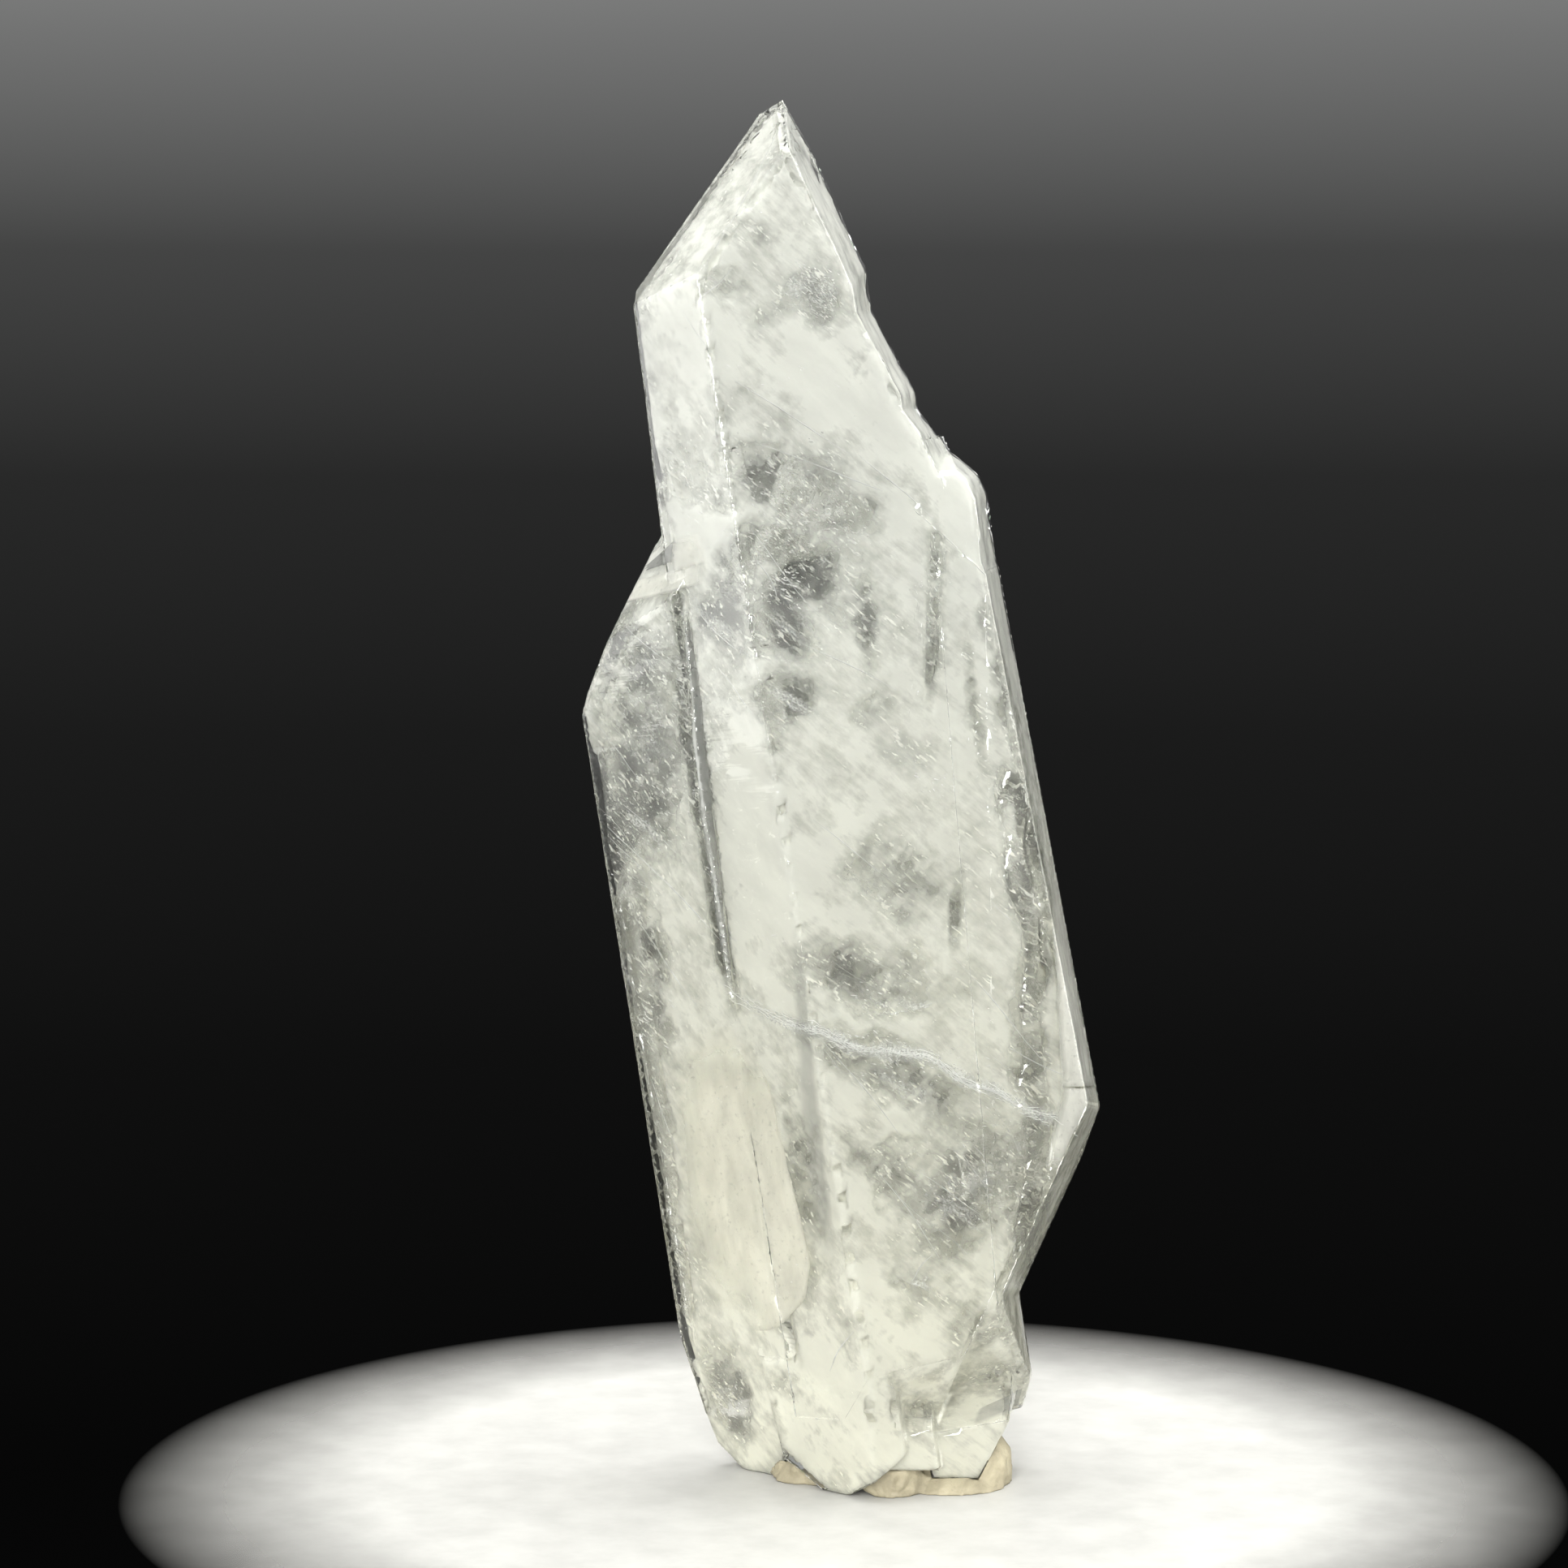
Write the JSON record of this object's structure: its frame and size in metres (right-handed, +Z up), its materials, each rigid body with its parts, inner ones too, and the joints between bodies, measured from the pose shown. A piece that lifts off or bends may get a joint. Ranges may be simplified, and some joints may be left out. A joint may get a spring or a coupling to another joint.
{
  "type": "faden quartz crystal",
  "caption": "Tall tabular cluster of parallel-grown clear milky quartz crystals with a leaning pointed tip, standing upright in a small pad of tan mounting putty.",
  "frame": {"origin": "centre of the part's bounding box in plan, on the surface it stands on", "axes": "+Z up, the crystal's long axis leans 8.8 degrees from +Z towards -X; -Y is the broad face shown to the viewer"},
  "size_m": [0.029, 0.014, 0.076],
  "materials": {
    "quartz": "natural crystal faces, clear to milky, with veils and a white thread inside",
    "putty": "matt, thumbed"
  },
  "bodies": {
    "root": {"quartz_crystal": "quartz", "mounting_putty": "putty"}
  },
  "joints": []
}
